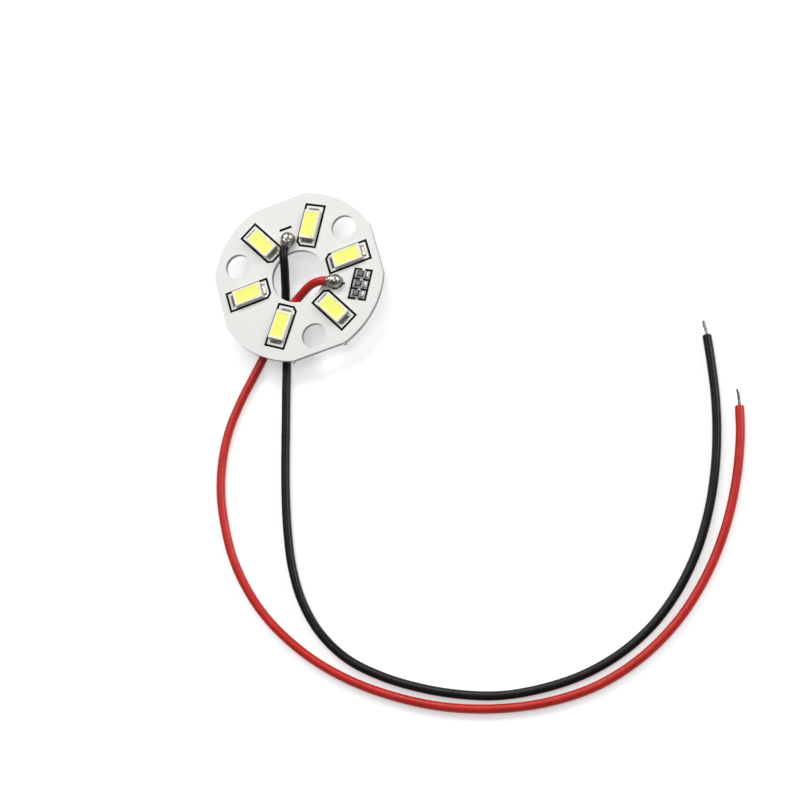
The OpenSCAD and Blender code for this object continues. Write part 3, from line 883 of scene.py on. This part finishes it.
def solder_skin(shape, seed):
    """Remeshes closed shapes, given in millimetres, to one soft skin with small lumps, in metres."""
    raw = bpy.data.meshes.new("raw")
    shape.to_mesh(raw)
    shape.free()
    helper = link("raw", raw)
    remesh = helper.modifiers.new("remesh", "REMESH")
    remesh.mode = "VOXEL"
    remesh.voxel_size = BLOB_VOXEL
    relax = helper.modifiers.new("relax", "SMOOTH")
    relax.factor = BLOB_SMOOTHING
    relax.iterations = BLOB_SMOOTHING_ROUNDS
    bpy.context.view_layer.update()
    evaluated = helper.evaluated_get(bpy.context.evaluated_depsgraph_get())
    mesh = bpy.data.meshes.new_from_object(evaluated)
    bpy.data.objects.remove(helper)
    bpy.data.meshes.remove(raw)
    start = Vector((seed, 0, 0))
    normals = [vertex.normal.copy() for vertex in mesh.vertices]
    for vertex, normal in zip(mesh.vertices, normals):
        shift = sum(noise.noise(vertex.co / size + start) * depth for size, depth in BLOB_LUMPS)
        vertex.co = (vertex.co + normal * shift) * MM
    mesh.update()
    return mesh


def solder_blob(angle, route):
    """A hand-soldered dome on its pad. It climbs the strands up to the lead's insulation."""
    pad = pad_place(angle)
    start = Vector(route[0])
    away = (start - Vector(route[1])).normalized()
    dome = pad + Vector((0, 0, DOME_Z))
    bulge = dome + (start - dome) * BULGE_REACH
    shape = bmesh.new()
    for place, radius in ((dome, DOME_R), (bulge, DOME_R * BULGE_SHARE)):
        bmesh.ops.create_icosphere(shape, subdivisions=BALL_SUBDIVISIONS, radius=radius,
                                   matrix=Matrix.Translation(place))
    foot_h = DOME_Z - COPPER_Z
    foot = Matrix.Translation(pad + Vector((0, 0, COPPER_Z + foot_h / 2)))
    bmesh.ops.create_cone(shape, cap_ends=True, segments=FOOT_SIDES, radius1=WIRE_PAD_D / 2 + FOOT_SPREAD,
                          radius2=DOME_R - FOOT_TOP_INSET, depth=foot_h, matrix=foot)
    tilt = away.to_track_quat("Z", "Y").to_matrix().to_4x4()
    neck = Matrix.Translation(start + away * NECK_L / 2) @ tilt
    bmesh.ops.create_cone(shape, cap_ends=True, segments=NECK_SIDES, radius1=NECK_D / 2,
                          radius2=NECK_ROOT_D / 2 + NECK_SPREAD, depth=NECK_L, matrix=neck)
    mesh = solder_skin(shape, angle)
    for vertex in mesh.vertices:
        vertex.co.z = max(vertex.co.z, COPPER_Z * MM)
    return mesh


def foot_shadow_ring(angle, width):
    """A thin dark bead round a hand-soldered joint's foot, widest on one side: a painted contact shadow.
    """
    pad = pad_place(angle)
    points, faces = [], []
    for i in range(SHADOW_RING_STEPS):
        turn = 2 * math.pi * i / SHADOW_RING_STEPS
        ahead = Vector((math.cos(turn), math.sin(turn), 0))
        ripple = SHADOW_RING_RIPPLE_SHARE * noise.noise(ahead * SHADOW_RING_RIPPLE_RATE + Vector((angle, 0, 0)))
        heavy = (1 + math.cos(turn - math.radians(SHADOW_RING_WIDE_SIDE))) / 2
        wide = width * (SHADOW_RING_THIN_SHARE + (1 - SHADOW_RING_THIN_SHARE) * heavy) * (1 + ripple)
        for across, up in SHADOW_RING_SECTION:
            level = Vector((0, 0, MASK_Z + SHADOW_RING_H * up))
            points.append((pad + ahead * (SHADOW_RING_R + wide * across) + level) * MM)
    size = len(SHADOW_RING_SECTION)
    for i in range(SHADOW_RING_STEPS):
        here, there = i * size, (i + 1) % SHADOW_RING_STEPS * size
        for j in range(size):
            k = (j + 1) % size
            faces.append((here + j, there + j, there + k, here + k))
    return mesh_from(points, faces)


def fillet_height(climb, swell, lean, out, across):
    """A fillet's height at a share of the way out to its toe, and from -1 to 1 across its width."""
    side = (1 - abs(across) ** SIDE_POWERS[0]) ** SIDE_POWERS[1]
    curve = climb * (1 + lean * across) * (1 - out) ** HOLLOW_POWER + swell * out * (1 - out)
    edge = max(out ** TOE_EDGE_POWER, abs(across) ** SIDE_EDGE_POWER)
    return curve * (1 - SIDE_FALL + SIDE_FALL * side) - SOLDER_T * EDGE_FALL * edge


def fillet_rows(face, pad_in, toe, width, rise, pick):
    """The solder's upper side at a terminal: flat under it, and curved from its upright face outwards."""
    climb = rise * pick.uniform(*CLIMB_SHARES)
    swell = pick.uniform(*SWELLS)
    lean = pick.uniform(*LEANS)
    rows = []
    for x in (pad_in, face - FILLET_GAP):
        rows.append([Vector((x, across * width / 2, 0)) for across in spaced(STEPS_ACROSS)])
    for k in range(STEPS_OUT + 1):
        out = (k / STEPS_OUT) ** SPACING_POWER
        row = []
        for across in spaced(STEPS_ACROSS):
            z = fillet_height(climb, swell, lean, out, across)
            row.append(Vector((face + toe * out, across * width / 2, z)))
        rows.append(row)
    return rows


def fillets(ends, seed):
    """All the fillets of one kind. An end is its part's matrix and the fillet's own measures."""
    pick = random.Random(seed)
    points, faces = [], []
    for matrix, measures in ends:
        more_points, more_faces = grid_skin(fillet_rows(*measures, pick), -SOLDER_T)
        faces += [tuple(len(points) + v for v in face) for face in more_faces]
        points += [matrix @ point * MM for point in more_points]
    mesh = mesh_from(points, faces)
    shape = bmesh.new()
    shape.from_mesh(mesh)
    bmesh.ops.recalc_face_normals(shape, faces=shape.faces)
    shape.to_mesh(mesh)
    shape.free()
    return mesh


def led_ends():
    """Both ends of each LED, with the measures of the fillet there."""
    measures = (LEG_REACH, LEG_REACH - FOOT_L, LED_TOE, TERMINAL_W, LED_TOE_H)
    return [(led_place(k) @ turned(end), measures) for k in LEDS for end in (0, 180)]


def chip_ends():
    """Both ends of each resistor, which sits inwards on its pads, so its outer toes are longer."""
    ends = []
    for k in CHIPS:
        for end, shift in ((0, -CHIP_SHIFT), (180, CHIP_SHIFT)):
            measures = (CHIP_L / 2 + shift, CHIP_PAD_IN, CHIP_TOE - shift, CHIP_W, CHIP_TOE_H)
            ends.append((chip_place(k) @ turned(end), measures))
    return ends


# Meshes of the ink, the resin and the overcoat

def minus_mark():
    """The minus mark's ink, printed fuller than the frames, with ends rounded by the screen."""
    points = []
    for z in (INK_TOP_Z - INK_T, INK_TOP_Z):
        points += rounded_ring(MINUS_W / 2, MINUS_L / 2, MINUS_CORNER, z, *MINUS_STEPS)
    mesh = mesh_from(points, ring_faces(2, len(points) // 2))
    mesh.transform(Matrix.Scale(MM, 4) @ turned(MINUS_ANGLE, (WIRE_PAD_R + MINUS_SHIFT, 0, 0)))
    return mesh


def resin_window(k):
    """The cured resin in an LED's window. Its points are numbered from 0 at the walls to 1 inside."""
    rim_z = LED_H - RESIN_RECESS
    levels = [(WINDOW_SLOPE, WINDOW_FLOOR_H, 0), (0, rim_z, 0)]
    for i in range(1, RESIN_RINGS + 1):
        inset = RESIN_INSET * (i / RESIN_RINGS) ** RESIN_SPACING
        sink = RESIN_SINK * (1 - math.exp(-inset / RESIN_SINK_WITHIN))
        levels.append((inset, rim_z - sink, min(inset / RESIN_MARGIN, 1)))
    points, insides = [], []
    for inset, z, inside in levels:
        corner = max(WINDOW_CORNER - inset, RESIN_INNER_CORNER)
        ring = rounded_ring(WINDOW_L / 2 - inset, WINDOW_W / 2 - inset, corner, z, *WINDOW_STEPS)
        points += ring
        insides += [inside] * len(ring)
    mesh = mesh_from(points, ring_faces(len(levels), len(ring)))
    number_points(mesh, "inside", insides)
    mesh.transform(Matrix.Scale(MM, 4) @ led_place(k))
    return mesh


def coat_pillow(k):
    """A resistor's domed overcoat. Its points are numbered from 0 in the middle to 1 at the margin, where
    its material paints shade.
    """
    rows, margins = [], []
    for u in spaced(COAT_STEPS):
        row = []
        for v in spaced(COAT_STEPS):
            dome = math.sqrt((1 - abs(u) ** COAT_SQUARENESS) * (1 - abs(v) ** COAT_SQUARENESS))
            height = COAT_T * (COAT_EDGE_SHARE + COAT_DOME_SHARE * dome)
            row.append(Vector((CHIP_PAD_IN * u, (CHIP_W / 2 - COAT_INSET) * v, height)))
            margin = (max(abs(u), abs(v)) - COAT_SHADE_START) / COAT_SHADE_FADE
            margins.append(min(max(margin, 0), 1))
        rows.append(row)
    points, faces = grid_skin(rows, 0)
    place = chip_place(k) @ Matrix.Translation((-CHIP_SHIFT, 0, CHIP_H - CAP_T))
    mesh = mesh_from([place @ point * MM for point in points], faces)
    number_points(mesh, "margin", margins * 2)
    return mesh


# Camera

def make_camera():
    data = bpy.data.cameras.new("camera")
    data.sensor_width = SENSOR_WIDTH
    data.lens = SENSOR_WIDTH * FOCAL_LENGTH / PHOTO_SIZE
    data.clip_start = CLIP_START
    camera = link("camera", data)
    right = CAMERA_RIGHT.normalized()
    back = right.cross(CAMERA_UP).normalized()
    up = back.cross(right)
    turn = Matrix((right, up, back)).transposed().to_4x4()
    camera.matrix_world = Matrix.Translation(CAMERA_AT) @ turn
    bpy.context.scene.camera = camera


make_camera()

# Leads

bare_wire = tinned_wire()
sleeves = {
    "black": insulation("black_insulation", (0.004, 0.004, 0.004), (0.009, 0.009, 0.0087),
                        0.22, 0.32, 0.22),
    "red": insulation("red_insulation", (0.47, 0.015, 0.010), (0.57, 0.023, 0.015),
                      0.24, 0.35, 0.32),
}
for colour, route, _, seed in LEADS:
    path = Path(smooth_route(route))
    sleeve = add_piece(f"{colour}_lead_sleeve", sleeve_mesh(path, seed), sleeves[colour],
                       f"insulation_{colour}", f"{colour}_lead")
    strands = add_piece(f"{colour}_lead_strands", strand_bundle(path, seed), bare_wire,
                        "tinned_strands", f"{colour}_stripped_end")

# Board

ink = black_ink()
dress(["base_plate"], aluminium(), PLATE_EDGE)
dress(["dielectric_layer"], insulating_resin())
dress(["copper_circuit"], copper())
dress(["solder_mask"], white_mask())
dress(["legend_print"], ink)
add_piece("minus_mark_ink", minus_mark(), ink, "ink_black")

# LEDs

# Silver terminals, coloured darker and browner than bright plating.
silver = sheet_metal("dark_brown_silver", (0.20, 0.163, 0.122), (0.36, 0.307, 0.245), 0.26, 0.42)
resin = phosphor()
dress([f"led_{k}_housing" for k in LEDS], white_housing(), HOUSING_EDGE)
dress([f"led_{k}_{end}" for k in LEDS for end in ("cathode", "anode")], silver, TERMINAL_EDGE)
dress([f"led_{k}_die" for k in LEDS], semiconductor())
dress(["led_bond_wires"], gold_wire())
for k in LEDS:
    add_piece(f"led_{k}_resin", resin_window(k), resin, "phosphor", f"led_{k}_phosphor")

# Resistors

tin = sheet_metal("matte_tin", (0.18, 0.175, 0.165), (0.30, 0.295, 0.28), 0.36, 0.50)
coat = overcoat()
dress([f"resistor_{k}_body" for k in CHIPS], ceramic(), CHIP_EDGE)
dress([f"resistor_{k}_terminals" for k in CHIPS], tin, CHIP_EDGE)
for k in CHIPS:
    add_piece(f"resistor_{k}_overcoat", coat_pillow(k), coat, "overcoat_black", f"resistor_{k}_coat")

# Solder

bright = solder("bright_solder", (0.20, 0.165, 0.13), (0.60, 0.585, 0.56), 0.20, 0.33)
reflowed = solder("reflowed_solder", (0.36, 0.345, 0.325), (0.70, 0.69, 0.67), 0.24, 0.40)
# A brown tint on the LEDs' fillets: painted shade for the dark surroundings that they reflect.
stained = solder("brown_shaded_solder", (0.25, 0.215, 0.165), (0.60, 0.57, 0.505), 0.26, 0.42)
foot_shadow_material = foot_shadow()
led_mesh = fillets(led_ends(), LED_FILLET_SEED)
chip_mesh = fillets(chip_ends(), CHIP_FILLET_SEED)
add_piece("led_fillets", led_mesh, stained, "solder", "led_solder")
add_piece("resistor_fillets", chip_mesh, reflowed, "solder", "resistor_solder")
for colour, route, angle, _ in LEADS:
    dress([f"{colour}_soldered_end"], bare_wire)
    blob = solder_blob(angle, route)
    add_piece(f"{colour}_solder_blob", blob, bright, "solder", f"{colour}_solder_joint")
    # A painted contact shadow round each joint's foot.
    add_piece(f"{colour}_flux", foot_shadow_ring(angle, SHADOW_RING_W[colour]), foot_shadow_material, "solder")


# Stage and light

def make_floor():
    """A floor just under the leads. It is white in the picture and keeps the object's shadow."""
    level = (LYING_Z - LEAD_D / 2 - FLOOR_GAP) * MM
    corners = [(x * FLOOR_HALF, y * FLOOR_HALF, level) for x, y in ((-1, -1), (1, -1), (1, 1), (-1, 1))]
    mesh = mesh_from(corners, [(0, 1, 2, 3)])
    mesh.materials.append(pale_floor())
    link("floor", mesh)


def make_lamp(name, place, size, power):
    data = bpy.data.lights.new(name, "AREA")
    data.shape = "RECTANGLE"
    data.size, data.size_y = size
    data.energy = power
    lamp = link(name, data)
    lamp.location = place
    lamp.rotation_euler = (LAMP_TARGET - Vector(place)).to_track_quat("-Z", "Y").to_euler()


def make_world():
    world = bpy.data.worlds.new("studio")
    bpy.context.scene.world = world
    world.use_nodes = True
    back = world.node_tree.nodes["Background"]
    back.inputs["Color"].default_value = WORLD_COLOUR
    back.inputs["Strength"].default_value = WORLD_STRENGTH


make_floor()
for lamp in LAMPS:
    make_lamp(*lamp)
make_world()
bpy.context.scene.view_settings.view_transform = "Standard"
